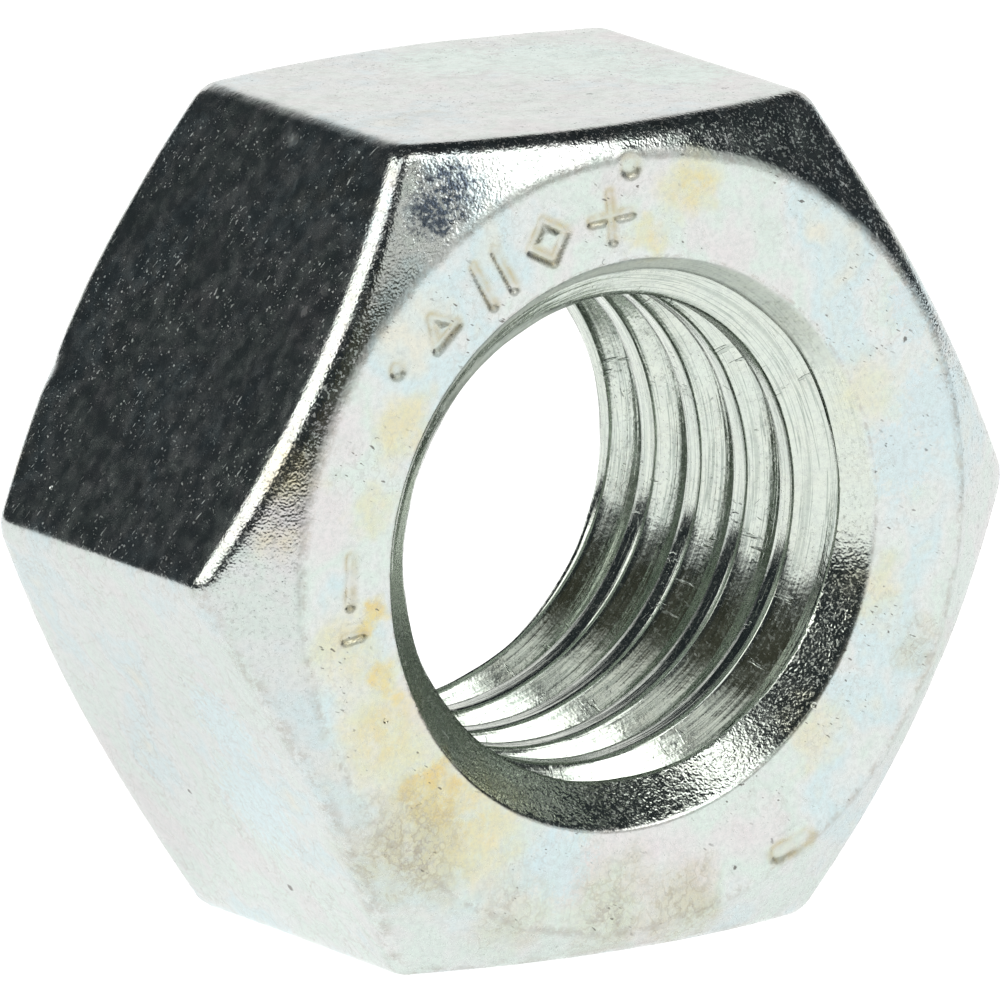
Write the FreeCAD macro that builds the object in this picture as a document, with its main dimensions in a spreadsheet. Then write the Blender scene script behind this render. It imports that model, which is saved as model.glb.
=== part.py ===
import FreeCAD, Part

import os

import Sketcher
from FreeCAD import Placement, Rotation, Vector

# A steel hex nut, M12 x 1.75 right hand, 18 mm across flats and 10 mm high.
# It is drawn with its thread along the body's own Z axis and its marked face on top. Its Placement
# then stands it on one flat: thread along Y, marked face towards -Y, one flat up and one down.

SIZES = {
    # blank
    "across_flats": 18.0,
    "nut_height": 10.0,
    "corner_rounding": 0.6,
    # bearing faces and end chamfers
    "bearing_circle": 16.8,
    "chamfer_slope": 30.7,
    "edge_rounding": 0.6,
    # thread
    "pitch": 1.75,
    "major_diameter": 12.0,
    "minor_diameter": 10.3,
    "flank_slope": 30.0,
    "groove_height": 0.515,
    "groove_overlap": 0.3,
    "thread_turns": 8.0,
    # countersinks
    "countersink_diameter": 12.4,
    "countersink_slope": 45.0,
    "rim_rounding": 0.15,
    # stamped marks
    "mark_depth": 0.1,
    "mark_circle": 14.4,
    "mark_size": 1.2,
    "mark_stroke": 0.2,
    "triangle_angle": 133.0,
    "twin_bar_angle": 120.0,
    "diamond_angle": 108.0,
    "cross_angle": 95.0,
    "side_bar_angle": 179.0,
    "side_dash_angle": 188.5,
    "dimple_circle": 15.1,
    "dimple_angle": 143.0,
    "dimple_diameter": 0.35,
    "code_circle": 16.4,
    "code_dot_angle": 91.0,
    "code_dot_diameter": 0.45,
    "code_bar_angle": -60.0,
    "code_bar_turn": -73.0,
    "code_bar_length": 1.15,
    "code_bar_width": 0.4,
}
TOOL_MARGIN = 1.0  # how far a cutting profile reaches past the metal
WALL_ARCS = 8  # the bore is drawn as this many arcs, so the thread's crest is a run of short faces
SAME = 1e-5  # two lengths closer than this are equal

doc = FreeCAD.newDocument("hex_nut")
sheet = doc.addObject("Spreadsheet::Sheet", "sizes")
for row, (alias, value) in enumerate(SIZES.items(), start=1):
    sheet.set(f"A{row}", alias)
    sheet.set(f"B{row}", str(value))
    sheet.setAlias(f"B{row}", alias)
doc.recompute()


# ---- sketches ----------------------------------------------------------------------------------


def new_sketch(body, name, role):
    """An empty sketch on one of the body's own origin planes."""
    sketch = body.newObject("Sketcher::SketchObject", name)
    plane = next(o for o in body.Origin.OriginFeatures if o.Role == role)
    sketch.AttachmentSupport = [(plane, "")]
    sketch.MapMode = "FlatFace"
    return sketch


def locate(sketch, element, vertex, corner):
    """Hold a vertex at a corner, which is a pair of expressions over the sheet."""
    for kind, expression in zip(("DistanceX", "DistanceY"), corner):
        value = sketch.evalExpression(expression)
        number = sketch.addConstraint(Sketcher.Constraint(kind, -1, 1, element, vertex, value))
        sketch.setExpression(f"Constraints[{number}]", expression)


def hold_radius(sketch, element, radius):
    """Bind the radius of a circle or an arc to an expression over the sheet."""
    value = sketch.evalExpression(radius)
    number = sketch.addConstraint(Sketcher.Constraint("Radius", element, value))
    sketch.setExpression(f"Constraints[{number}]", radius)


def draw_loop(sketch, corners):
    """A closed outline of straight lines through the corners."""
    points = [Vector(*(sketch.evalExpression(part) for part in corner)) for corner in corners]
    count = len(points)
    lines = [
        sketch.addGeometry(Part.LineSegment(points[i], points[(i + 1) % count]), False)
        for i in range(count)
    ]
    for i, line in enumerate(lines):
        sketch.addConstraint(Sketcher.Constraint("Coincident", line, 2, lines[(i + 1) % count], 1))
        locate(sketch, line, 1, corners[i])


def draw_circle(sketch, centre, radius):
    """A full circle."""
    middle = Vector(*(sketch.evalExpression(part) for part in centre))
    shape = Part.Circle(middle, Vector(0, 0, 1), sketch.evalExpression(radius))
    circle = sketch.addGeometry(shape, False)
    locate(sketch, circle, 3, centre)
    hold_radius(sketch, circle, radius)


def polar(radius, angle):
    """A point at a radius and an angle in degrees, both expressions."""
    return f"({radius}) * cos({angle})", f"({radius}) * sin({angle})"


def offset(point, shift):
    """A point moved by a shift, both pairs of expressions."""
    return tuple(f"{a} + {b}" for a, b in zip(point, shift))


def regular_loop(centre, corners, radius, turn):
    """The corners of a regular polygon around a centre."""
    step = 360 // corners
    return [offset(centre, polar(radius, f"{turn} + {step * i}")) for i in range(corners)]


def turned_loop(centre, turn, outline):
    """An outline of (across, outward) corners around a centre, with outward pointing along turn."""
    corners = []
    for across, outward in outline:
        shift_out = polar(outward, turn)
        shift_across = polar(across, f"{turn} - 90")
        corners.append(offset(offset(centre, shift_out), shift_across))
    return corners


def bar_outline(half_across, half_outward, across="0"):
    """The corners of a rectangle, moved sideways by across."""
    return [
        (f"{across} + {half_across}", f"-{half_outward}"),
        (f"{across} + {half_across}", half_outward),
        (f"{across} - {half_across}", half_outward),
        (f"{across} - {half_across}", f"-{half_outward}"),
    ]


# ---- features ----------------------------------------------------------------------------------


def edges_of(feature, wanted):
    """The names of a feature's edges that pass a test."""
    return [f"Edge{i}" for i, edge in enumerate(feature.Shape.Edges, start=1) if wanted(edge)]


def round_edges(body, name, base, wanted, radius):
    """A fillet on the edges of base that pass a test."""
    doc.recompute()
    fillet = body.newObject("PartDesign::Fillet", name)
    fillet.Base = (base, edges_of(base, wanted))
    fillet.Refine = False
    fillet.setExpression("Radius", radius)
    return fillet


def cut_round(body, name, profile):
    """A full turn of a profile around the thread's axis, taken out of the metal."""
    groove = body.newObject("PartDesign::Groove", name)
    groove.Profile = profile
    groove.ReferenceAxis = (profile, ["V_Axis"])
    groove.Angle = 360
    groove.Refine = False
    return groove


def both_ends(body, name, feature):
    """The same cut at the other end of the nut."""
    mirror = body.newObject("PartDesign::Mirrored", name)
    middle = next(o for o in body.Origin.OriginFeatures if o.Role == "XY_Plane")
    mirror.Originals = [feature]
    mirror.MirrorPlane = (middle, [""])
    mirror.Refine = False
    body.Tip = mirror
    return mirror


def hex_prism(body):
    """The hexagonal blank, corners on +X and every 60 degrees, with its six corners rounded."""
    outline = new_sketch(body, "hex_outline", "XY_Plane")
    draw_loop(outline, regular_loop(("0", "0"), 6, "sizes.across_flats / 2 / cos(30)", "0"))
    prism = body.newObject("PartDesign::Pad", "hex_prism")
    prism.Profile = outline
    prism.Midplane = True
    prism.setExpression("Length", "sizes.nut_height")

    def upright(edge):
        start, end = (vertex.Point for vertex in edge.Vertexes)
        return (end - start).cross(Vector(0, 0, 1)).Length < SAME

    return round_edges(body, "rounded_corners", prism, upright, "sizes.corner_rounding")


def end_chamfers(body):
    """The cone that takes the corners off each end and leaves a round bearing face."""
    profile = new_sketch(body, "chamfer_profile", "XZ_Plane")
    inner = "sizes.bearing_circle / 2"
    outer = f"sizes.across_flats / 2 / cos(30) + {TOOL_MARGIN}"
    end = "sizes.nut_height / 2"
    foot = f"{end} - ({outer} - {inner}) * tan(sizes.chamfer_slope)"
    top = f"{end} + {TOOL_MARGIN}"
    draw_loop(profile, [(inner, end), (outer, foot), (outer, top), (inner, top)])
    return both_ends(body, "chamfer_other_end", cut_round(body, "chamfer", profile))


def bore(body):
    """The hole at the thread's minor diameter."""
    outline = new_sketch(body, "bore_outline", "XY_Plane")
    radius = "sizes.minor_diameter / 2"
    value = outline.evalExpression(radius)
    circle = Part.Circle(Vector(), Vector(0, 0, 1), value)
    step = 360 // WALL_ARCS
    arcs = []
    for i in range(WALL_ARCS):
        start = outline.evalExpression(f"{step * i} * pi / 180")
        end = outline.evalExpression(f"{step * (i + 1)} * pi / 180")
        arcs.append(outline.addGeometry(Part.ArcOfCircle(circle, start, end), False))
    for i, arc in enumerate(arcs):
        following = arcs[(i + 1) % WALL_ARCS]
        outline.addConstraint(Sketcher.Constraint("Coincident", arc, 2, following, 1))
        locate(outline, arc, 1, polar(radius, f"{step * i}"))
        hold_radius(outline, arc, radius)
    hole = body.newObject("PartDesign::Pocket", "bore")
    hole.Profile = outline
    hole.Midplane = True
    hole.Refine = False
    hole.setExpression("Length", f"sizes.nut_height + {TOOL_MARGIN}")
    return hole


def countersinks(body):
    """The cone at each mouth of the bore, wider than the thread."""
    profile = new_sketch(body, "countersink_profile", "XZ_Plane")
    end = "sizes.nut_height / 2"
    rim = "sizes.countersink_diameter / 2"
    apex = f"{end} - {rim} / tan(sizes.countersink_slope)"
    wide = f"{rim} + {TOOL_MARGIN} * tan(sizes.countersink_slope)"
    top = f"{end} + {TOOL_MARGIN}"
    draw_loop(profile, [("0", apex), (wide, top), ("0", top)])
    return both_ends(body, "countersink_other_end", cut_round(body, "countersink", profile))


def rounded_edges(body, base):
    """The worn edges: around each flat, around the bearing faces and around the countersinks."""
    end = sheet.nut_height / 2

    def circle_at(edge, diameter):
        on_end = all(abs(abs(vertex.Z) - end) < SAME for vertex in edge.Vertexes)
        return on_end and edge.Curve.TypeId == "Part::GeomCircle" and (
            abs(edge.Curve.Radius - diameter / 2) < SAME
        )

    def around_flat(edge):
        radii = [Vector(vertex.X, vertex.Y, 0).Length for vertex in edge.Vertexes]
        heights = [vertex.Z for vertex in edge.Vertexes]
        outside = min(radii) > sheet.bearing_circle / 2 + SAME
        return outside and len(heights) == 2 and heights[0] * heights[1] > 0

    def outer_edge(edge):
        return around_flat(edge) or circle_at(edge, sheet.bearing_circle)

    def rim(edge):
        return circle_at(edge, sheet.countersink_diameter)

    worn = round_edges(body, "worn_edges", base, outer_edge, "sizes.edge_rounding")
    return round_edges(body, "worn_rims", worn, rim, "sizes.rim_rounding")


def thread(body):
    """A right-hand metric groove: 60 degrees between its flanks and a root an eighth of the pitch wide."""
    profile = new_sketch(body, "thread_profile", "XZ_Plane")
    centre = "sizes.groove_height - sizes.thread_turns / 2 * sizes.pitch"
    root = "sizes.major_diameter / 2"
    mouth = "sizes.minor_diameter / 2 - sizes.groove_overlap"
    half_root = "sizes.pitch / 16"
    half_mouth = f"({half_root} + ({root} - ({mouth})) * tan(sizes.flank_slope))"
    draw_loop(
        profile,
        [
            (mouth, f"{centre} - {half_mouth}"),
            (root, f"{centre} - {half_root}"),
            (root, f"{centre} + {half_root}"),
            (mouth, f"{centre} + {half_mouth}"),
        ],
    )
    groove = body.newObject("PartDesign::SubtractiveHelix", "thread")
    groove.Profile = profile
    groove.ReferenceAxis = (profile, ["V_Axis"])
    groove.Mode = "pitch-turns-angle"
    groove.HasBeenEdited = True
    groove.Refine = False
    groove.setExpression("Pitch", "sizes.pitch")
    groove.setExpression("Turns", "sizes.thread_turns")
    return groove


def stamped_marks(body):
    """Shallow stamps in the marked face: plain geometric signs, a dimple, and a dot and bar at its rim."""
    stamps = new_sketch(body, "stamp_outlines", "XY_Plane")
    stamps.setExpression(".AttachmentOffset.Base.z", "sizes.nut_height / 2")
    half, stroke = "sizes.mark_size / 2", "sizes.mark_stroke"
    ring = "sizes.mark_circle / 2"

    triangle = polar(ring, "sizes.triangle_angle")
    for radius in (half, f"{half} - 2 * {stroke}"):
        draw_loop(stamps, regular_loop(triangle, 3, radius, "sizes.triangle_angle"))

    twin_bars = polar(ring, "sizes.twin_bar_angle")
    for side in ("+", "-"):
        bar = bar_outline(f"{stroke} / 2", half, across=f"0 {side} {half} / 2")
        draw_loop(stamps, turned_loop(twin_bars, "sizes.twin_bar_angle", bar))

    diamond = polar(ring, "sizes.diamond_angle")
    for radius in (half, f"{half} - 1.41 * {stroke}"):
        draw_loop(stamps, regular_loop(diamond, 4, radius, "sizes.diamond_angle"))

    cross = polar(ring, "sizes.cross_angle")
    thin = f"{stroke} / 2"
    arms = [
        (f"{half}", f"-{thin}"),
        (f"{half}", thin),
        (thin, thin),
        (thin, half),
        (f"-{thin}", half),
        (f"-{thin}", thin),
        (f"-{half}", thin),
        (f"-{half}", f"-{thin}"),
        (f"-{thin}", f"-{thin}"),
        (f"-{thin}", f"-{half}"),
        (thin, f"-{half}"),
        (thin, f"-{thin}"),
    ]
    draw_loop(stamps, turned_loop(cross, "sizes.cross_angle", arms))

    side_bar = polar(ring, "sizes.side_bar_angle")
    flat_bar = bar_outline(half, f"{stroke} / 2")
    draw_loop(stamps, turned_loop(side_bar, "sizes.side_bar_angle", flat_bar))
    side_dash = polar(ring, "sizes.side_dash_angle")
    short_bar = bar_outline(thin, f"{half} / 2")
    draw_loop(stamps, turned_loop(side_dash, "sizes.side_dash_angle", short_bar))

    dimple = polar("sizes.dimple_circle / 2", "sizes.dimple_angle")
    draw_circle(stamps, dimple, "sizes.dimple_diameter / 2")

    code_dot = polar("sizes.code_circle / 2", "sizes.code_dot_angle")
    draw_circle(stamps, code_dot, "sizes.code_dot_diameter / 2")
    code_bar = polar("sizes.code_circle / 2", "sizes.code_bar_angle")
    wide_bar = bar_outline("sizes.code_bar_length / 2", "sizes.code_bar_width / 2")
    draw_loop(stamps, turned_loop(code_bar, "sizes.code_bar_turn", wide_bar))

    pocket = body.newObject("PartDesign::Pocket", "stamped_marks")
    pocket.Profile = stamps
    pocket.Refine = False
    pocket.setExpression("Length", "sizes.mark_depth")
    return pocket


def hex_nut():
    """The one piece of steel."""
    body = doc.addObject("PartDesign::Body", "hex_nut")
    body.Label = "hex_nut"
    hex_prism(body)
    end_chamfers(body)
    bore(body)
    worn = rounded_edges(body, countersinks(body))
    thread(body)
    doc.recompute()
    threaded_volume = body.Shape.Volume
    stamped_marks(body)
    doc.recompute()
    assert threaded_volume < worn.Shape.Volume, "the thread cut nothing"
    assert body.Shape.Volume < threaded_volume, "the stamps cut nothing"
    body.Placement = Placement(Vector(), Rotation(Vector(1, 0, 0), 90))
    return body


bodies = [hex_nut()]
doc.recompute()

for item in doc.Objects:
    if {"Invalid", "Error"} & set(item.State):
        raise RuntimeError(f"{item.Name}: {item.State}")

os.makedirs("parts", exist_ok=True)
for body in bodies:
    shape = body.Shape
    if shape.isNull() or not shape.isValid() or len(shape.Solids) != 1:
        raise RuntimeError(f"{body.Label} is not one sound solid")
    shape.exportStep(f"parts/{body.Label}.step")
    print(f"{body.Label}: {shape.Volume:.1f} mm3")
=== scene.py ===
import math

import bpy
import numpy as np
from mathutils import Matrix, Vector, noise


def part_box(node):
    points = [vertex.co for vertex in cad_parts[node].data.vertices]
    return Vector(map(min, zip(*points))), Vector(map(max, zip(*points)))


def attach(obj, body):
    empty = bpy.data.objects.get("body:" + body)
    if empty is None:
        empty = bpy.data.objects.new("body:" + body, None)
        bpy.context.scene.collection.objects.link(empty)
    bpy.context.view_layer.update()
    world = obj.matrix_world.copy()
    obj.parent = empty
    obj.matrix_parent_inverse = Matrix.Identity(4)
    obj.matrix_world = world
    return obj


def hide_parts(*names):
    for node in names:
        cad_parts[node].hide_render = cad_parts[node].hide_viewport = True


# A zinc-plated steel hex nut, standing on one flat with its thread along Y and its marked face
# towards -Y. The shapes below are worked out in millimetres and written in metres.

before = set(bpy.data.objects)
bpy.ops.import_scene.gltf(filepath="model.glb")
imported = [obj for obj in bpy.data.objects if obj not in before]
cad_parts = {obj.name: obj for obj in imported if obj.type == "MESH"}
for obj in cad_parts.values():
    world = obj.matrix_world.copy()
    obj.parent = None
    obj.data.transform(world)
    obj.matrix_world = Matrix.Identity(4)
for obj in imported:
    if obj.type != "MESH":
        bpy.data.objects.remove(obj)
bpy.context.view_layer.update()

MM = 0.001
low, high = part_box("hex_nut")
APOTHEM = (high.z - low.z) / 2 / MM  # half of the size across flats
HALF_HEIGHT = (high.y - low.y) / 2 / MM

# ---- sizes of the nut, in mm ---------------------------------------------------------------------

CORNER_ROUNDING = 0.6
BEARING_RADIUS = 8.4
CHAMFER_SLOPE = math.radians(30.7)
EDGE_ROUNDING = 0.65
RING_ROUNDING = 0.6
RIM_RADIUS = 6.2
RIM_ROUNDING = 0.15
PITCH = 1.75
MINOR_RADIUS = 5.15
MAJOR_RADIUS = 6.0
ROOT_FLAT = PITCH / 8
CREST_FLAT = 0.55
GROOVE_OFFSET = -0.515  # y of a groove's middle on the +X side

# stamps in the marked face
MARK_RADIUS = 7.2
MARK_SIZE = 1.2
MARK_STROKE = 0.2
MARK_DEPTH = 0.055
CODE_RADIUS = 8.2
DIMPLES = [(7.55, 143.0, 0.175), (CODE_RADIUS, 91.0, 0.225)]  # radius from the axis, degrees, own radius
SLOT_PLACE, SLOT_TURN = -60.0, -73.0  # degrees
SLOT_HALF_LENGTH, SLOT_HALF_WIDTH = 0.375, 0.2
STAMP_WALL = 0.18  # width of the slope round a stamp
BURR_HEIGHT, BURR_PLACE, BURR_WIDTH = 0.01, 0.12, 0.06

# wear: how far the bearing ring's edge wanders, and how much the edges' rounding varies
RING_WAVE, RING_RIPPLE = 0.07, 0.03
EDGE_WEAR = 0.25

# fineness of the mesh: degrees between columns, how far round the last one may lie, and where they
# are close together, besides the corners
FINE_STEP, COARSE_STEP, LAST_ANGLE = 0.4, 1.2, 359.7
STAMPED_ARCS = [(84.0, 149.0), (172.0, 192.0), (295.0, 305.0)]
CORNER_REACH = 2.0
# rows in each rounding, in each run between two of them, and on each thread flank
ROUNDING_STEPS = 4
RUN_STEPS = [36, 8, 20, 8, 12]  # front face, chamfer, flat, chamfer, back face
FLANK_STEPS = 8
CREST_BEVEL = 0.025


# ---- the nut's mesh ------------------------------------------------------------------------------


def column_angles():
    """Angles round the axis, in radians: close together at the corners and the stamps."""
    fine = STAMPED_ARCS + [(60.0 * i - CORNER_REACH, 60.0 * i + CORNER_REACH) for i in range(7)]
    angles, angle = [], 0.0
    while angle < LAST_ANGLE:
        angles.append(angle)
        close = any(start <= angle < end for start, end in fine)
        angle += FINE_STEP if close else COARSE_STEP
    if len(angles) % 2:
        angles.insert(1, angles[1] / 2)
    return np.radians(angles)


def ripple(theta, lumps, seed):
    """An uneven edge: about -1 to 1 round the axis, with so many lumps."""
    turns = [Vector((math.cos(t), math.sin(t), seed)) * lumps / 6.0 for t in theta]
    return np.array([noise.noise(turn) for turn in turns])


def hexagon_radius(theta):
    """Distance from the axis to the rounded hexagon, at each angle."""
    sector = math.radians(60.0)
    from_flat = np.abs((theta % sector) - sector / 2)
    from_corner = sector / 2 - from_flat
    centre = (APOTHEM - CORNER_ROUNDING) / math.cos(sector / 2)
    across = centre * np.sin(from_corner)
    reach = np.sqrt(np.maximum(CORNER_ROUNDING**2 - across**2, 0.0))
    limit = math.atan2(
        CORNER_ROUNDING * math.sin(sector / 2), centre + CORNER_ROUNDING * math.cos(sector / 2)
    )
    rounded = centre * np.cos(from_corner) + reach
    return np.where(from_corner < limit, rounded, APOTHEM / np.cos(from_flat))


def section_rows(corners, roundings, arc_steps, run_steps):
    """Rows of points along a chain of corners, each rounded off. A row has one point per column.

    The second list says how near each row is to the middle of a rounding, from 0 to 1.
    """
    rows, nearness = [], []
    for i in range(1, len(corners) - 1):
        before, here, after = corners[i - 1], corners[i], corners[i + 1]
        into = (here - before) / np.linalg.norm(here - before, axis=1, keepdims=True)
        out = (after - here) / np.linalg.norm(after - here, axis=1, keepdims=True)
        turn = np.arccos(np.clip((into * out).sum(axis=1), -1.0, 1.0))
        reach = (roundings[i - 1] * np.tan(turn / 2))[:, None]
        start, end = here - into * reach, here + out * reach
        if rows:
            last = rows[-1]
            steps = run_steps[i - 2]
            rows += [last + (start - last) * k / steps for k in range(1, steps)]
            nearness += [0.0] * (steps - 1)
        for k in range(arc_steps + 1):
            t = k / arc_steps
            rows.append((1 - t) ** 2 * start + 2 * t * (1 - t) * here + t**2 * end)
            nearness.append(math.sin(math.pi * t))
    return rows, nearness


def outer_rows(theta):
    """Everything outside the bore, from the front countersink's rim round to the back one's."""
    ones = np.ones_like(theta)
    hexagon = hexagon_radius(theta)
    front_ring = BEARING_RADIUS + RING_WAVE * ripple(theta, 9, 1.0) + RING_RIPPLE * ripple(theta, 20, 4.0)
    back_ring = BEARING_RADIUS + RING_WAVE * ripple(theta, 14, 2.0)
    shoulder = HALF_HEIGHT - (hexagon - BEARING_RADIUS) * math.tan(CHAMFER_SLOPE)

    def corner(radius, y):
        return np.stack([radius * ones, y * ones], axis=1)

    inside = RIM_RADIUS - 1.0
    corners = [
        corner(inside, -HALF_HEIGHT + 1.0),
        corner(RIM_RADIUS, -HALF_HEIGHT),
        corner(front_ring, -HALF_HEIGHT),
        corner(hexagon, -shoulder),
        corner(hexagon, shoulder),
        corner(back_ring, HALF_HEIGHT),
        corner(RIM_RADIUS, HALF_HEIGHT),
        corner(inside, HALF_HEIGHT - 1.0),
    ]
    worn = 1.0 + EDGE_WEAR * ripple(theta, 11, 3.0)
    roundings = [RIM_ROUNDING * ones, RING_ROUNDING * worn, EDGE_ROUNDING * worn]
    roundings += roundings[::-1]
    return section_rows(corners, roundings, ROUNDING_STEPS, RUN_STEPS)


def thread_profile(distance):
    """The thread's radius at a distance along the axis from a groove's middle."""
    away = np.abs((distance + PITCH / 2) % PITCH - PITCH / 2)
    slope = (MAJOR_RADIUS - MINOR_RADIUS) / ((PITCH - CREST_FLAT - ROOT_FLAT) / 2)
    return np.clip(MAJOR_RADIUS - (away - ROOT_FLAT / 2) * slope, MINOR_RADIUS, MAJOR_RADIUS)


def pitch_steps():
    """Where rows lie within one pitch, from a groove's middle: close together at the edges."""
    root, crest = ROOT_FLAT / 2, (PITCH - CREST_FLAT) / 2
    half = [0.0, root * 0.7, root * 1.2]
    half += list(np.linspace(root * 1.2, crest - CREST_BEVEL, FLANK_STEPS)[1:])
    half += [crest + CREST_BEVEL, PITCH / 2 - 0.1]
    return np.array(half + [PITCH / 2] + [PITCH - x for x in half[:0:-1]])


def bore_grid(theta, limit):
    """Points of the threaded bore, a row of them per step of the helix, held within the rims."""
    steps = pitch_steps()
    turns = math.ceil(2 * limit / PITCH) + 2
    start = GROOVE_OFFSET - PITCH * math.ceil((GROOVE_OFFSET + limit) / PITCH)
    along = np.concatenate([start + PITCH * turn + steps for turn in range(turns)])
    fall = PITCH * theta[:, None] / (2 * math.pi)
    y = along[None, :] - fall
    past = np.abs(y) >= limit
    held = np.clip(y, -limit, limit)
    thread = thread_profile(held + fall - GROOVE_OFFSET)
    cone = RIM_RADIUS - (HALF_HEIGHT - np.abs(held))
    return np.maximum(thread, cone), held, past, len(steps)


def ring_points(theta, radius, y):
    """Points from a grid of radii and heights, with a row of the grid for each angle."""
    angle = np.repeat(theta, radius.shape[1])
    radius, y = radius.ravel(), y.ravel()
    return np.stack([radius * np.cos(angle), y, radius * np.sin(angle)], axis=1)


def nut_mesh():
    """One closed mesh, a torus of columns round the axis, with half as many columns in the bore."""
    theta = column_angles()
    count = len(theta)
    rows, nearness = outer_rows(theta)
    rim_radius, limit = rows[0][0][0], -rows[0][0][1]
    outer = np.stack(rows[1:-1], axis=1)
    outer_count = outer.shape[1]
    points = [ring_points(theta, outer[:, :, 0], outer[:, :, 1])]

    bore_theta = theta[::2]
    bore_count = len(bore_theta)
    bore_radius, bore_y, past, per_pitch = bore_grid(bore_theta, limit)
    row_count = bore_radius.shape[1]
    points.append(ring_points(bore_theta, np.where(past, rim_radius, bore_radius), bore_y))

    # rows past a rim share that rim's one vertex in their column
    ids = np.arange(bore_count * row_count).reshape(bore_count, row_count) + count * outer_count
    ids = np.where(past & (bore_y < 0), ids[:, :1], np.where(past & (bore_y > 0), ids[:, -1:], ids))

    faces = []
    for i in range(count):
        j = (i + 1) % count
        for k in range(outer_count - 1):
            a, b = i * outer_count + k, j * outer_count + k
            faces.append((a, a + 1, b + 1, b))
    for i in range(bore_count):
        j = (i + 1) % bore_count
        shift = per_pitch if j == 0 else 0
        here, there = ids[i], ids[j]
        for k in range(row_count - 1):
            m, n = max(k - shift, 0), max(k + 1 - shift, 0)
            loop = list(dict.fromkeys(int(v) for v in (here[k], there[m], there[n], here[k + 1])))
            if len(loop) > 2:
                faces.append(tuple(loop))
        # the rims, where two columns meet one
        for side, edge in ((0, 0), (-1, outer_count - 1)):
            a, b = int(here[side]), int(there[side])
            c, d, e = ((2 * i + n) % count * outer_count + edge for n in range(3))
            fan = [(a, c, d), (a, d, b), (b, d, e)]
            faces += fan if side == 0 else [face[::-1] for face in fan]
    near_edge = np.concatenate([np.tile(nearness[1:-1], count), np.zeros(bore_count * row_count)])
    return np.concatenate(points), faces, near_edge


# ---- stamps and wear, as moves of the mesh along its normals ------------------------------------


def around(radius, degrees, across=0.0, outward=0.0):
    """(x, z) of a point near a place on the marked face, given by radius and angle."""
    turn = math.radians(degrees)
    out = np.array([math.cos(turn), math.sin(turn)])
    side = np.array([math.sin(turn), -math.cos(turn)])
    return out * (radius + outward) + side * across


def polygon_strokes(degrees, sides, radius):
    """The sides of a regular polygon, pointing outward."""
    turns = [2 * math.pi * i / sides for i in range(sides + 1)]
    corners = [
        around(MARK_RADIUS, degrees, -radius * math.sin(t), radius * math.cos(t)) for t in turns
    ]
    return list(zip(corners[:-1], corners[1:]))


def mark_strokes():
    """The middle lines of the signs: triangle, two bars, diamond, cross, side bar and dash."""
    half = MARK_SIZE / 2
    reach = half - MARK_STROKE / 2
    strokes = polygon_strokes(133.0, 3, half - MARK_STROKE)
    strokes += polygon_strokes(108.0, 4, half - 0.7 * MARK_STROKE)
    outward = [(120.0, half / 2), (120.0, -half / 2), (95.0, 0.0)]
    ends = [(degrees, (across, -reach), (across, reach)) for degrees, across in outward]
    ends += [(degrees, (-reach, 0.0), (reach, 0.0)) for degrees in (95.0, 179.0)]
    ends.append((188.5, (0.0, -half / 2 + MARK_STROKE / 2), (0.0, half / 2 - MARK_STROKE / 2)))
    strokes += [
        (around(MARK_RADIUS, degrees, *start), around(MARK_RADIUS, degrees, *end))
        for degrees, start, end in ends
    ]
    return strokes


def from_segment(points, start, end):
    """Distance of each point from a line between two others."""
    along = end - start
    share = np.clip(((points - start) @ along) / (along @ along), 0.0, 1.0)
    return np.linalg.norm(points - start - share[:, None] * along, axis=1)


def stamp_edges(points):
    """Distance of each point of the marked face from the nearest stamp's outline, less than 0 inside."""
    flat = points[:, [0, 2]]
    edge = np.full(len(points), 10.0)
    for start, end in mark_strokes():
        edge = np.minimum(edge, from_segment(flat, start, end) - MARK_STROKE / 2)
    for radius, degrees, size in DIMPLES:
        edge = np.minimum(edge, np.linalg.norm(flat - around(radius, degrees), axis=1) - size)
    middle, turned = around(CODE_RADIUS, SLOT_PLACE), around(0.0, SLOT_TURN, SLOT_HALF_LENGTH)
    edge = np.minimum(edge, from_segment(flat, middle - turned, middle + turned) - SLOT_HALF_WIDTH)
    return np.where(points[:, 1] < -HALF_HEIGHT + 0.3, edge, 10.0)


def stamp_moves(edge):
    """How far each point is pressed in, with a low burr round each stamp."""
    into = np.clip(0.5 - edge / STAMP_WALL, 0.0, 1.0)
    depth = MARK_DEPTH * into * into * (3 - 2 * into)
    return BURR_HEIGHT * np.exp(-(((edge - BURR_PLACE) / BURR_WIDTH) ** 2)) - depth


# waves left by forging: lumps per mm, height in mm, place in the noise
WAVES = [
    (0.35, 0.014, Vector((0.0, 0.0, 0.0))),
    (1.3, 0.005, Vector((9.0, 0.0, 0.0))),
    (3.1, 0.003, Vector((0.0, 7.0, 0.0))),
]


def wear_moves(points):
    """Low waves all over the nut."""
    moves = []
    for point in points:
        place = Vector(point)
        moves.append(sum(noise.noise(place * scale + shift) * height for scale, height, shift in WAVES))
    return np.array(moves)


# knocks and nicks: place in mm, reach, depth
KNOCKS = [
    ((-7.19, -3.35, 5.55), 0.3, 0.03),
    ((-6.91, -3.58, 6.03), 0.25, 0.02),
    ((-5.46, -0.23, 8.54), 0.35, 0.03),
    ((-8.6, 4.45, 3.1), 0.4, 0.06),
    ((7.42, -4.9, -3.27), 0.35, 0.03),
    ((8.2, -4.7, -3.9), 0.3, 0.03),
    ((-5.64, -4.9, -6.05), 0.5, 0.03),
    ((4.4, -4.6, 8.1), 0.35, 0.04),
    ((9.1, 3.2, 2.1), 0.4, 0.04),
    ((2.5, 4.8, -8.2), 0.4, 0.05),
    ((-3.6, 4.9, 6.6), 0.35, 0.04),
    ((6.9, 1.2, 5.2), 0.4, 0.03),
]


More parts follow.
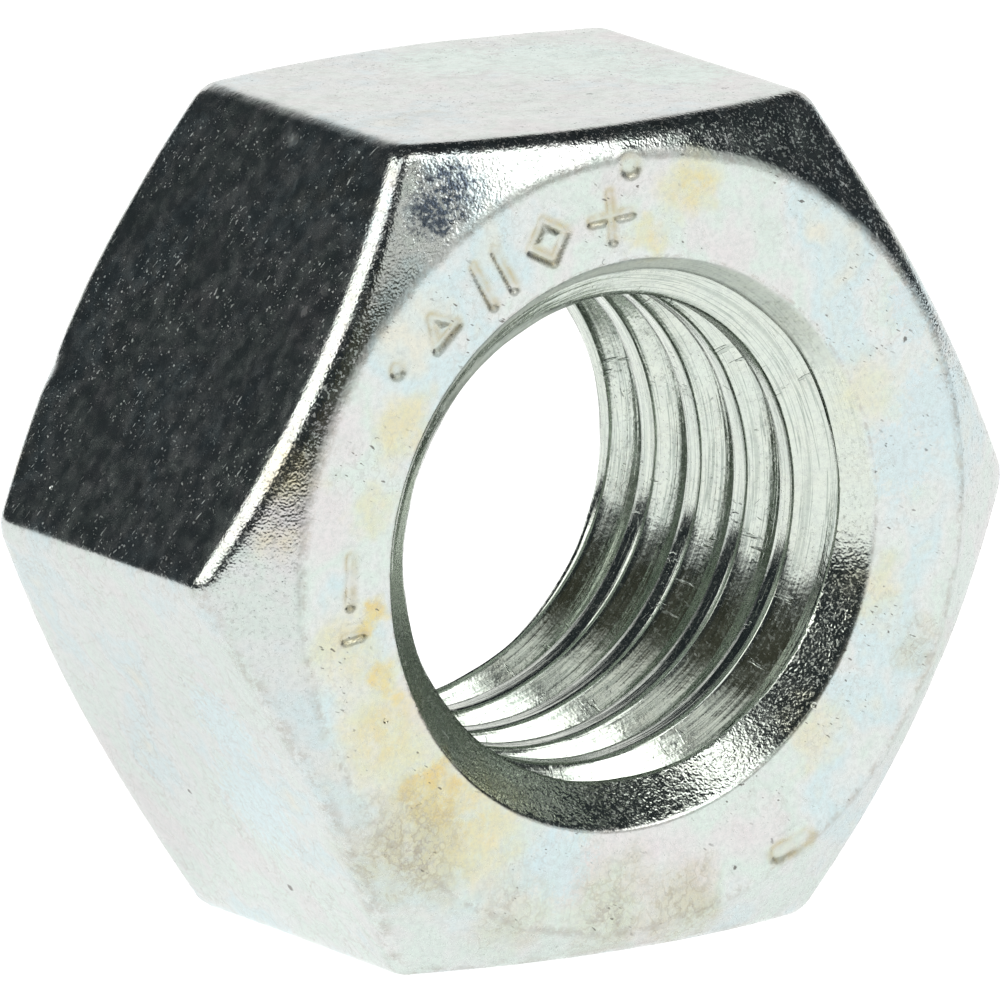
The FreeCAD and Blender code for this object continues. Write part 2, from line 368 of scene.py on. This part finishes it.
def knock_moves(points):
    """Shallow dents at a few places."""
    moves = np.zeros(len(points))
    for place, reach, depth in KNOCKS:
        away = np.linalg.norm(points - np.array(place), axis=1) / reach
        moves -= depth * np.exp(-(away**2) * 2.0)
    return moves


def build_nut():
    """The nut as a mesh object. Its stamps' outlines and its edges are marked for the material."""
    points, faces, near_edge = nut_mesh()
    used = np.unique([v for face in faces for v in face])
    renumber = np.zeros(len(points), int)
    renumber[used] = np.arange(len(used))
    points, near_edge = points[used], near_edge[used]
    mesh = bpy.data.meshes.new("nut_body")
    mesh.from_pydata((points * MM).tolist(), [], [renumber[list(face)].tolist() for face in faces])
    mesh.update()
    normals = np.empty(len(points) * 3)
    mesh.vertices.foreach_get("normal", normals)
    edge = stamp_edges(points)
    moves = stamp_moves(edge) + wear_moves(points) + knock_moves(points)
    points = points + normals.reshape(-1, 3) * moves[:, None]
    mesh.vertices.foreach_set("co", (points * MM).ravel())
    mesh.update()
    mesh.shade_smooth()
    outline = 0.35 * (edge < 0) + np.exp(-((edge / 0.08) ** 2))
    for name, values in (("stamp", outline), ("edge", near_edge)):
        mesh.attributes.new(name, "FLOAT", "POINT").data.foreach_set("value", values)
    nut = bpy.data.objects.new("nut_body", mesh)
    bpy.context.scene.collection.objects.link(nut)
    return nut


# ---- materials ------------------------------------------------------------------------------------


class Nodes:
    """Short calls for a node tree."""

    def __init__(self, tree):
        self.tree = tree

    def plug(self, socket, value):
        if isinstance(value, bpy.types.NodeSocket):
            self.tree.links.new(value, socket)
        else:
            socket.default_value = value

    def add(self, kind, inputs=None, **settings):
        node = self.tree.nodes.new(kind)
        for name, value in settings.items():
            setattr(node, name, value)
        for key, value in (inputs or {}).items():
            self.plug(node.inputs[key], value)
        return node

    def math(self, operation, *values):
        return self.add("ShaderNodeMath", dict(enumerate(values)), operation=operation).outputs[0]

    def total(self, *values):
        result = values[0]
        for value in values[1:]:
            result = self.math("ADD", result, value)
        return result

    def product(self, *values):
        result = values[0]
        for value in values[1:]:
            result = self.math("MULTIPLY", result, value)
        return result

    def step(self, value, start, end, low=0.0, high=1.0):
        """A smooth step from low to high as value goes from start to end."""
        inputs = {"Value": value, "From Min": start, "From Max": end, "To Min": low, "To Max": high}
        node = self.add("ShaderNodeMapRange", inputs, interpolation_type="SMOOTHSTEP")
        return node.outputs["Result"]

    def mix(self, share, first, second):
        node = self.add("ShaderNodeMix", data_type="RGBA")
        for socket, value in zip((0, 6, 7), (share, first, second)):
            self.plug(node.inputs[socket], value)
        return node.outputs[2]

    def scaled(self, vector, scale):
        return self.add("ShaderNodeVectorMath", {0: vector, 1: scale}, operation="MULTIPLY").outputs[0]

    def noise(self, place, scale, detail=2.0, roughness=0.5):
        inputs = {"Vector": place, "Scale": scale, "Detail": detail, "Roughness": roughness}
        return self.add("ShaderNodeTexNoise", inputs).outputs["Fac"]

    def ridges(self, place, scale, width, detail=3.0):
        """Thin winding lines, where a noise passes its middle."""
        away = self.math("ABSOLUTE", self.math("SUBTRACT", self.noise(place, scale, detail), 0.5))
        return self.step(away, 0.0, width, 1.0, 0.0)

    def spots(self, place, scale, size, share):
        """Small round spots, in a share of the cells of a random grid."""
        cells = self.add("ShaderNodeTexVoronoi", {"Vector": place, "Scale": scale})
        red = self.add("ShaderNodeSeparateXYZ", {0: cells.outputs["Color"]}).outputs[0]
        chosen = self.step(red, share, share + 0.02, 1.0, 0.0)
        return self.product(chosen, self.step(cells.outputs["Distance"], size * 0.5, size, 1.0, 0.0))

    def strokes(self, place, turn, size, start):
        """Short straight scratches of about a size, all in one direction."""
        inputs = {"Vector": place, "Rotation": turn, "Scale": size}
        turned = self.add("ShaderNodeMapping", inputs, vector_type="TEXTURE").outputs[0]
        return self.step(self.noise(turned, 1.0, 1.0), start, start + 0.03)


class Places:
    """Where a point lies on the nut, in mm, with a mask for each kind of surface."""

    def __init__(self, n):
        place = n.add("ShaderNodeTexCoord").outputs["Object"]
        self.mm = n.scaled(place, (1000.0, 1000.0, 1000.0))
        self.x, self.y, self.z = n.add("ShaderNodeSeparateXYZ", {0: self.mm}).outputs
        self.radius = n.math("SQRT", n.total(n.product(self.x, self.x), n.product(self.z, self.z)))
        height = n.math("ABSOLUTE", self.y)
        outside = n.step(self.radius, RIM_RADIUS - 0.12, RIM_RADIUS + 0.02)
        drop = n.product(n.math("SUBTRACT", self.radius, BEARING_RADIUS), math.tan(CHAMFER_SLOPE))
        past_cone = n.math("SUBTRACT", n.total(height, drop), HALF_HEIGHT)
        self.face = n.product(outside, n.step(height, HALF_HEIGHT - 0.12, HALF_HEIGHT - 0.04))
        on_cone = n.step(past_cone, -0.5, -0.1)
        off_face = n.step(self.radius, BEARING_RADIUS - 0.1, BEARING_RADIUS + 0.2)
        self.chamfer = n.product(on_cone, off_face)
        self.flat = n.product(outside, n.math("SUBTRACT", 1.0, on_cone), off_face)
        self.bore = n.math("SUBTRACT", 1.0, outside)
        sink = n.math("SUBTRACT", n.total(height, RIM_RADIUS - HALF_HEIGHT), self.radius)
        self.sink = n.product(self.bore, n.step(sink, -0.1, -0.03))
        self.thread = n.math("SUBTRACT", self.bore, self.sink)

    def helix(self, n, along, around):
        """A noise in fine lines that follow the thread."""
        angle = n.math("ARCTAN2", self.z, self.x)
        turns = n.total(n.product(self.y, 2 * math.pi / PITCH), angle)
        inputs = {
            "X": n.product(n.math("COSINE", turns), along),
            "Y": n.product(n.math("SINE", turns), along),
            "Z": n.total(n.product(n.math("COSINE", angle), around), n.product(self.y, 0.4)),
        }
        place = n.add("ShaderNodeCombineXYZ", inputs).outputs[0]
        inputs = {"Vector": place, "W": n.product(n.math("SINE", angle), around), "Detail": 3.0}
        inputs["Scale"] = 1.0
        return n.add("ShaderNodeTexNoise", inputs, noise_dimensions="4D").outputs["Fac"]


# the plating's colours
ZINC_TINTS = [
    (0.30, (0.650, 0.618, 0.622, 1.0)),
    (0.40, (0.640, 0.650, 0.635, 1.0)),
    (0.46, (0.595, 0.675, 0.625, 1.0)),
    (0.53, (0.640, 0.665, 0.650, 1.0)),
    (0.60, (0.555, 0.665, 0.680, 1.0)),
    (0.70, (0.650, 0.650, 0.570, 1.0)),
]
DULL_ZINC = (0.44, 0.46, 0.46, 1.0)
GREENISH_ZINC = (0.555, 0.690, 0.630, 1.0)
BLUISH_ZINC = (0.530, 0.650, 0.680, 1.0)
BORE_GREEN = (0.59, 0.66, 0.61, 1.0)
BORE_YELLOW = (0.64, 0.67, 0.59, 1.0)
BRIGHT_SPECK = (0.80, 0.84, 0.80, 1.0)
# and the colours of what lies on it; YELLOW also paints a golden highlight on the left chamfer
YELLOW = (0.64, 0.57, 0.27, 1.0)
RUST = (0.66, 0.46, 0.16, 1.0)
OLIVE = (0.49, 0.47, 0.31, 1.0)
GRIME = (0.33, 0.29, 0.22, 1.0)
SCUFF_BROWN = (0.34, 0.31, 0.27, 1.0)
STAMP_DIRT = (0.44, 0.37, 0.20, 1.0)
MOTTLE_GREY = (0.45, 0.48, 0.47, 1.0)
NICK_BLACK = (0.09, 0.08, 0.07, 1.0)
SMUDGE_BLUE = (0.08, 0.10, 0.13, 1.0)
THREAD_LINE = (0.22, 0.27, 0.24, 1.0)

# roughness of each kind of surface, and how much is added high in the countersinks
FACE_ROUGHNESS = 0.24
CHAMFER_ROUGHNESS = 0.16
FLAT_ROUGHNESS = 0.20
SINK_ROUGHNESS = 0.14
HIGH_SINK_ROUGHNESS = 0.45
THREAD_ROUGHNESS = 0.15

# heights of the relief, in mm
GRAIN_HEIGHT = 0.015
FINE_GRAIN_HEIGHT = 0.0035
DIMPLE_HEIGHT = 0.010
TOOL_LINE_HEIGHT = 0.012
CHATTER_DEPTH = 0.008
PIT_DEPTH = 0.02

# directions of the straight marks, as rotations, and their sizes in mm
NICK_TURN, NICK_SIZE = (0.2, 0.5, 0.3), (0.3, 0.07, 0.07)
SCRATCH_TURNS = [(0.4, 0.9, 0.2), (1.1, -0.6, 2.2), (-0.8, 2.4, -0.5)]
SCRATCH_SIZE = (0.8, 0.06, 0.06)

# stains on the marked face: place (x, z) in mm, reach in mm, strength. The last two yellow ones reach
# onto the left chamfer and are a painted golden highlight there, not stains.
YELLOW_STAINS_AND_HIGHLIGHT = [
    ((-5.15, -4.8), 0.95, 1.0),
    ((-6.65, -0.8), 0.4, 0.95),
    ((-6.4, -2.1), 0.55, 0.85),
    ((-7.3, -1.3), 0.9, 0.5),
    ((-6.3, -3.3), 1.2, 0.65),
    ((-4.0, -5.7), 1.3, 0.65),
    ((-5.9, 3.3), 0.75, 0.6),
    ((-6.7, 1.6), 0.5, 0.45),
    ((1.4, 7.6), 0.7, 0.7),
    ((0.4, 6.6), 0.45, 0.65),
    ((4.6, -4.7), 0.7, 0.45),
    ((6.2, -1.8), 0.7, 0.45),
    ((5.9, 2.6), 0.8, 0.35),
    # the next two: a painted golden highlight on the left chamfer, not stains
    ((-8.7, 2.6), 0.7, 0.6),
    ((-9.1, 1.2), 0.6, 0.5),
]
OLIVE_STAINS = [
    ((1.3, -8.0), 0.9, 0.85),
    ((-0.5, -7.7), 1.1, 0.6),
    ((-5.7, -5.9), 1.3, 1.0),
    ((-3.0, -7.7), 0.9, 0.45),
    ((7.4, -3.2), 0.6, 0.45),
]


# small marks on the outside: place (x, y, z) in mm and reach in mm
PALE_DINGS = [
    ((-6.9, -3.5, 6.1), 0.22),
    ((-7.2, -3.2, 5.6), 0.16),
    ((-5.5, -0.2, 8.5), 0.24),
    ((-8.6, 4.3, 3.1), 0.2),
]
DARK_NICKS = [
    ((-6.07, -1.01, -7.49), 0.1),
    ((-8.9, 0.4, -2.5), 0.06),
    ((-7.1, 1.3, -5.7), 0.05),
    ((6.9, -5.0, 3.6), 0.06),
    ((2.6, -5.0, -7.4), 0.06),
]
BLUE_SMUDGE = [((-4.4, -4.6, 8.15), 0.85), ((-4.9, -4.6, 7.7), 0.7)]
GREEN_SHEEN = [((2.4, 1.4, 9.0), 2.2), ((0.3, 2.6, 9.0), 1.6), ((3.6, -1.0, 9.0), 1.4)]
BLUE_SHEEN = [
    ((7.7, -5.0, 2.1), 1.2),
    ((6.8, -5.0, 1.0), 1.0),
    ((7.3, -5.0, 4.4), 1.0),
    ((-1.9, -5.0, -6.7), 1.0),
    ((-6.9, -1.5, -5.2), 1.6),
    ((-8.4, -2.0, -3.4), 1.2),
]


# how far the stains' outlines wander, in mm; a noise's middle, 0.5, leaves them in place
STAIN_WANDER = 1.6


def small_marks(n, places, spread, ragged):
    """A mask of marks at the given places, with ragged edges."""
    total = 0.0
    wobble = n.product(n.math("SUBTRACT", n.noise(places.mm, 5.0, 3.0, 0.7), 0.5), ragged)
    for middle, reach in spread:
        away = n.add("ShaderNodeVectorMath", {0: places.mm, 1: middle}, operation="DISTANCE")
        away = n.total(away.outputs["Value"], wobble)
        total = n.math("MAXIMUM", total, n.step(away, reach * 0.5, reach, 1.0, 0.0))
    return total


def soft_patches(n, places, spread):
    """A mask of soft irregular patches near the given places on the marked face."""
    wobble = n.add("ShaderNodeTexNoise", {"Vector": places.mm, "Scale": 1.4, "Detail": 4.0})
    moved = n.add(
        "ShaderNodeVectorMath",
        {0: wobble.outputs["Color"], 1: (STAIN_WANDER, 0.0, STAIN_WANDER), 2: places.mm},
        operation="MULTIPLY_ADD",
    ).outputs[0]
    total = 0.0
    for (x, z), reach, strength in spread:
        middle = (x + STAIN_WANDER / 2, -HALF_HEIGHT, z + STAIN_WANDER / 2)
        away = n.add("ShaderNodeVectorMath", {0: moved, 1: middle}, operation="DISTANCE")
        patch = n.step(away.outputs["Value"], reach * 0.3, reach * 1.5, strength, 0.0)
        total = n.math("MAXIMUM", total, patch)
    return n.product(total, n.step(n.noise(places.mm, 2.2, 4.0, 0.65), 0.3, 0.55, 0.5, 1.0))


def bare_zinc(n, places):
    """Pale zinc with faint pink, green and blue, duller outside the face and yellower in the bore."""
    ramp = n.add("ShaderNodeValToRGB", {"Fac": n.noise(places.mm, 0.33, 4.0, 0.6)})
    while len(ramp.color_ramp.elements) < len(ZINC_TINTS):
        ramp.color_ramp.elements.new(0.5)
    for element, (position, colour) in zip(ramp.color_ramp.elements, ZINC_TINTS):
        element.position = position
        element.color = colour
    colour = ramp.outputs["Color"]
    outer = n.total(places.flat, places.chamfer)
    colour = n.mix(n.product(outer, 0.55), colour, n.mix(0.5, colour, DULL_ZINC))
    green = n.product(small_marks(n, places, GREEN_SHEEN, 3.0), 0.75)
    colour = n.mix(green, colour, GREENISH_ZINC)
    blue = n.product(small_marks(n, places, BLUE_SHEEN, 2.5), 0.7)
    colour = n.mix(blue, colour, BLUISH_ZINC)
    in_bore = n.mix(n.noise(places.mm, 1.1, 2.0), BORE_GREEN, BORE_YELLOW)
    return n.mix(places.bore, colour, in_bore)


def stained_and_highlit(n, places, colour, olive):
    """The colour with yellow and olive stains, rusty and grimy in their middles, and a painted golden
    highlight in yellow on the left chamfer.
    """
    yellow = soft_patches(n, places, YELLOW_STAINS_AND_HIGHLIGHT)
    # yellow: stains on the face, and a painted golden highlight on the left chamfer
    colour = n.mix(n.product(yellow, 0.95), colour, YELLOW)
    patches = n.step(n.noise(places.mm, 1.8, 3.0), 0.4, 0.6, 0.1, 0.5)
    colour = n.mix(n.product(n.step(yellow, 0.5, 0.9), patches), colour, RUST)
    colour = n.mix(n.product(olive, 0.75), colour, OLIVE)
    grime = n.step(n.noise(places.mm, 4.0, 4.0, 0.8), 0.48, 0.62, 0.0, 0.45)
    grime = n.math("MAXIMUM", grime, n.product(n.ridges(places.mm, 2.2, 0.04, 5.0), 0.65))
    return n.mix(n.product(olive, grime), colour, GRIME)


def scuffed(n, places, colour, olive, patchy):
    """The colour with brownish scuffs, rubbed edges and dirty stamps."""
    scuffs = n.product(n.ridges(places.mm, 2.6, 0.03, 3.0), patchy)
    scuffs = n.total(scuffs, n.product(n.ridges(places.mm, 1.3, 0.015, 5.0), places.flat, 1.3))
    scuffs = n.product(scuffs, n.total(n.product(olive, 0.6), 0.22))
    edge = n.add("ShaderNodeAttribute", attribute_name="edge").outputs["Fac"]
    rubbed = n.product(edge, n.step(n.noise(places.mm, 2.4, 5.0, 0.8), 0.44, 0.6))
    brown = n.math("MAXIMUM", scuffs, n.product(rubbed, 0.55))
    colour = n.mix(brown, colour, SCUFF_BROWN)
    stamp = n.add("ShaderNodeAttribute", attribute_name="stamp").outputs["Fac"]
    dirty = n.product(stamp, n.step(n.noise(places.mm, 2.0, 3.0), 0.35, 0.6, 0.2, 0.6))
    return n.mix(dirty, colour, STAMP_DIRT)


def marked(n, places, colour, patchy):
    """The colour with grey mottling, dark nicks and the blue smudge on the chamfer."""
    mottle = n.step(n.noise(places.mm, 7.0, 4.0, 0.8), 0.38, 0.72, 0.0, 0.5)
    colour = n.mix(mottle, colour, MOTTLE_GREY)
    nicks = n.strokes(places.mm, NICK_TURN, NICK_SIZE, 0.7)
    nicks = n.product(nicks, patchy, places.face)
    nicks = n.math("MAXIMUM", nicks, small_marks(n, places, DARK_NICKS, 0.25))
    colour = n.mix(n.product(nicks, 0.8), colour, NICK_BLACK)
    smudge = n.product(small_marks(n, places, BLUE_SMUDGE, 1.2), places.chamfer)
    smudge = n.product(smudge, n.step(n.noise(places.mm, 7.0, 3.0, 0.6), 0.4, 0.56, 0.3, 1.0))
    return n.mix(smudge, colour, SMUDGE_BLUE)


def thread_lines(n, places):
    """A mask of dark lines that follow the thread, fainter on the countersinks' upper sides."""
    streaks = places.helix(n, 4.0, 1.0)
    lines = n.product(n.step(streaks, 0.55, 0.63), 0.35)
    away = n.math("ABSOLUTE", n.math("SUBTRACT", streaks, 0.5))
    lines = n.math("MAXIMUM", lines, n.step(away, 0.0, 0.03, 0.6, 0.0))
    lines = n.math("MAXIMUM", lines, n.product(chatter(n, places), 0.35))
    high_side = n.product(places.sink, n.step(places.z, 0.0, 3.0), 0.5)
    return n.product(lines, n.total(places.thread, high_side))


def zinc_colour(n, places):
    """The plating's colour, from the bare zinc up to what lies on it."""
    olive = soft_patches(n, places, OLIVE_STAINS)
    patchy = n.step(n.noise(places.mm, 0.6, 3.0), 0.45, 0.62)
    colour = stained_and_highlit(n, places, bare_zinc(n, places), olive)
    colour = scuffed(n, places, colour, olive, patchy)
    colour = marked(n, places, colour, patchy)
    return n.mix(thread_lines(n, places), colour, THREAD_LINE)


def chatter(n, places):
    """Rows of short ticks across the thread, where the tap chattered."""
    ticks = n.step(places.helix(n, 0.7, 34.0), 0.60, 0.66)
    return n.product(ticks, n.step(n.noise(places.mm, 0.75, 1.0), 0.56, 0.62))


def zinc_height(n, places):
    """The surface's own relief in mm: plating grain, dimples, scratches, pits and tool lines."""
    grain = n.product(n.noise(places.mm, 9.5, 1.0, 0.5), GRAIN_HEIGHT)
    low_side = n.step(places.z, 0.5, -2.5)
    coarse = n.total(
        n.product(places.chamfer, 0.4),
        n.product(places.sink, n.total(n.product(low_side, 0.65), 0.15)),
        n.product(places.thread, 0.15),
        n.product(places.face, 0.35),
        n.product(places.flat, 0.2),
    )
    dimples = n.product(n.noise(places.mm, 1.2, 1.0), DIMPLE_HEIGHT)
    tool_lines = n.product(places.helix(n, 4.0, 1.0), TOOL_LINE_HEIGHT)
    tool = n.total(tool_lines, n.product(chatter(n, places), -CHATTER_DEPTH))
    tool = n.product(tool, places.thread)
    out_of_bore = n.math("SUBTRACT", 1.0, places.bore)
    pits = n.product(n.spots(places.mm, 1.1, 0.09, 0.2), out_of_bore, -PIT_DEPTH)
    sparkle = n.total(places.chamfer, n.product(places.sink, low_side), n.product(places.thread, 0.15))
    fine = n.product(n.noise(places.mm, 19.0, 0.0), sparkle, FINE_GRAIN_HEIGHT)
    return n.total(n.product(grain, coarse), dimples, tool, pits, fine)


def bright_specks(n, places):
    """A mask of fine specks and scratches, more in some patches than in others."""
    specks = n.spots(places.mm, 4.2, 0.15, 0.6)
    for turn in SCRATCH_TURNS:
        specks = n.math("MAXIMUM", specks, n.strokes(places.mm, turn, SCRATCH_SIZE, 0.72))
    return n.product(specks, n.step(n.noise(places.mm, 0.7, 3.0), 0.38, 0.62, 0.12, 1.0))


def zinc_roughness(n, places, specks):
    """Smooth plating, rougher high in the countersinks and at specks, dings and glints."""
    high = n.product(n.step(places.z, 2.5, 4.5), HIGH_SINK_ROUGHNESS)
    smooth = n.total(
        n.product(places.face, FACE_ROUGHNESS),
        n.product(places.chamfer, CHAMFER_ROUGHNESS),
        n.product(places.flat, FLAT_ROUGHNESS),
        n.product(places.sink, n.total(high, SINK_ROUGHNESS)),
        n.product(places.thread, THREAD_ROUGHNESS),
    )
    uneven = n.step(n.noise(places.mm, 2.5, 4.0, 0.6), 0.3, 0.7, -0.04, 0.06)
    dings = n.product(small_marks(n, places, PALE_DINGS, 0.6), 0.09)
    glints = n.step(n.noise(places.mm, 13.0, 2.0, 0.6), 0.57, 0.64, 0.0, 0.26)
    glints = n.product(glints, n.total(places.chamfer, places.sink, n.product(places.thread, 0.5)))
    return n.total(smooth, uneven, n.product(specks, 0.36), dings, glints)


def zinc_plating():
    """Bright zinc over steel."""
    material = bpy.data.materials.new("zinc_plated_steel")
    material.use_nodes = True
    tree = material.node_tree
    tree.nodes.clear()
    n = Nodes(tree)
    places = Places(n)
    specks = bright_specks(n, places)
    colour = n.mix(n.product(specks, 0.25), zinc_colour(n, places), BRIGHT_SPECK)
    roughness = zinc_roughness(n, places, specks)
    bump = n.add("ShaderNodeBump", {"Height": zinc_height(n, places), "Strength": 1.0, "Distance": MM})
    shader = n.add(
        "ShaderNodeBsdfPrincipled",
        {"Base Color": colour, "Metallic": 1.0, "Roughness": roughness, "Normal": bump.outputs[0]},
    )
    out = n.add("ShaderNodeOutputMaterial")
    tree.links.new(shader.outputs["BSDF"], out.inputs["Surface"])
    return material


# ---- studio ---------------------------------------------------------------------------------------

WHITE = (1.0, 1.0, 1.0, 1.0)
DARK_ROOM = (0.024, 0.030, 0.034, 1.0)
# panels of light: azimuth and elevation of the middle, half width, half height, soft edge, colour.
# Azimuth 0 is towards +Y and 90 towards +X, in degrees. A later panel lies over an earlier one.
PANELS = [
    (152.0, 8.0, 24.0, 12.0, 5.0, (0.75, 0.76, 0.74, 1.0)),
    (184.0, 3.0, 10.0, 7.0, 5.0, (0.45, 0.46, 0.42, 1.0)),
    (198.0, 20.0, 9.0, 10.0, 8.0, (0.055, 0.055, 0.040, 1.0)),
    (187.0, 36.0, 7.0, 7.0, 5.0, (0.95, 0.95, 0.90, 1.0)),
    (180.0, 63.0, 16.0, 8.0, 6.0, (2.40, 2.40, 2.36, 1.0)),
    (-115.0, 58.0, 14.0, 9.0, 6.0, (1.50, 1.50, 1.50, 1.0)),
    (-84.0, 35.0, 30.0, 16.0, 6.0, (2.40, 2.36, 2.28, 1.0)),
    (153.0, 40.0, 15.0, 12.0, 5.0, (3.00, 3.00, 2.92, 1.0)),
    (40.0, 12.0, 34.0, 14.0, 10.0, (1.16, 1.14, 1.13, 1.0)),
]


def studio_world():
    """A dark room with panels of light, and plain white where it is seen past the floor's end."""
    world = bpy.data.worlds.new("studio")
    world.use_nodes = True
    tree = world.node_tree
    tree.nodes.clear()
    n = Nodes(tree)
    direction = n.add("ShaderNodeTexCoord").outputs["Generated"]
    split = n.add("ShaderNodeSeparateXYZ", {0: direction}).outputs
    azimuth = n.math("DEGREES", n.math("ARCTAN2", split[0], split[1]))
    elevation = n.math("DEGREES", n.math("ARCSINE", split[2]))
    light = DARK_ROOM
    for middle, height, half_width, half_height, soft, colour in PANELS:
        turn = n.math("WRAP", n.math("SUBTRACT", azimuth, middle), 180.0, -180.0)
        rise = n.math("SUBTRACT", elevation, height)
        wide = n.step(n.math("ABSOLUTE", turn), half_width, half_width + soft, 1.0, 0.0)
        tall = n.step(n.math("ABSOLUTE", rise), half_height, half_height + soft, 1.0, 0.0)
        light = n.mix(n.product(wide, tall), light, colour)
    seen = n.add("ShaderNodeLightPath").outputs["Is Camera Ray"]
    light = n.mix(seen, light, WHITE)
    background = n.add("ShaderNodeBackground", {"Color": light, "Strength": 1.0})
    out = n.add("ShaderNodeOutputWorld")
    tree.links.new(background.outputs[0], out.inputs["Surface"])
    bpy.context.scene.world = world


FLOOR_REACH = 3.0  # m, from the middle to each side
FLOOR_COLOUR = (0.6, 0.6, 0.6, 1.0)
FLOOR_GLOW = 0.93


def studio_floor():
    """A plain white floor, lit from within like a light table, so that no shadow shows on it."""
    mesh = bpy.data.meshes.new("floor")
    corners = [(-1.0, -1.0), (1.0, -1.0), (1.0, 1.0), (-1.0, 1.0)]
    points = [(x * FLOOR_REACH, y * FLOOR_REACH, low.z) for x, y in corners]
    mesh.from_pydata(points, [], [(0, 1, 2, 3)])
    floor = bpy.data.objects.new("floor", mesh)
    bpy.context.scene.collection.objects.link(floor)
    material = bpy.data.materials.new("floor_white")
    material.use_nodes = True
    shader = material.node_tree.nodes["Principled BSDF"]
    shader.inputs["Base Color"].default_value = FLOOR_COLOUR
    shader.inputs["Roughness"].default_value = 1.0
    shader.inputs["Specular IOR Level"].default_value = 0.0
    shader.inputs["Emission Color"].default_value = WHITE
    shader.inputs["Emission Strength"].default_value = FLOOR_GLOW
    mesh.materials.append(material)


# the photograph's camera: its direction from the nut and its roll in degrees, its distance in sizes
# across flats, the point it aims at in m, its lens and sensor in mm
CAMERA_AZIMUTH, CAMERA_ELEVATION, CAMERA_ROLL = -33.92, 13.26, 0.21
CAMERA_DISTANCE = 36.32
CAMERA_AIM = (-0.00004, 0.00004, -0.00003)
LENS, SENSOR_WIDTH = 1107.6, 36.0
FAR_CLIP = 10.0


def photo_camera():
    """A long lens, a little above the nut and to its left."""
    azimuth, elevation = math.radians(CAMERA_AZIMUTH), math.radians(CAMERA_ELEVATION)
    distance = CAMERA_DISTANCE * 2 * APOTHEM * MM
    aim = Vector(CAMERA_AIM)
    back = Vector(
        (
            math.sin(azimuth) * math.cos(elevation),
            -math.cos(azimuth) * math.cos(elevation),
            math.sin(elevation),
        )
    )
    data = bpy.data.cameras.new("camera")
    data.sensor_width = SENSOR_WIDTH
    data.lens = LENS
    data.clip_end = FAR_CLIP
    camera = bpy.data.objects.new("camera", data)
    roll = Matrix.Rotation(math.radians(CAMERA_ROLL), 3, "Z")
    turned = back.to_track_quat("Z", "Y").to_matrix() @ roll
    camera.matrix_world = Matrix.Translation(aim + back * distance) @ turned.to_4x4()
    bpy.context.scene.collection.objects.link(camera)
    bpy.context.scene.camera = camera


nut = build_nut()
nut.data.materials.append(zinc_plating())
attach(nut, "root")
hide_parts("hex_nut")
studio_world()
studio_floor()
photo_camera()
bpy.context.scene.view_settings.view_transform = "Standard"
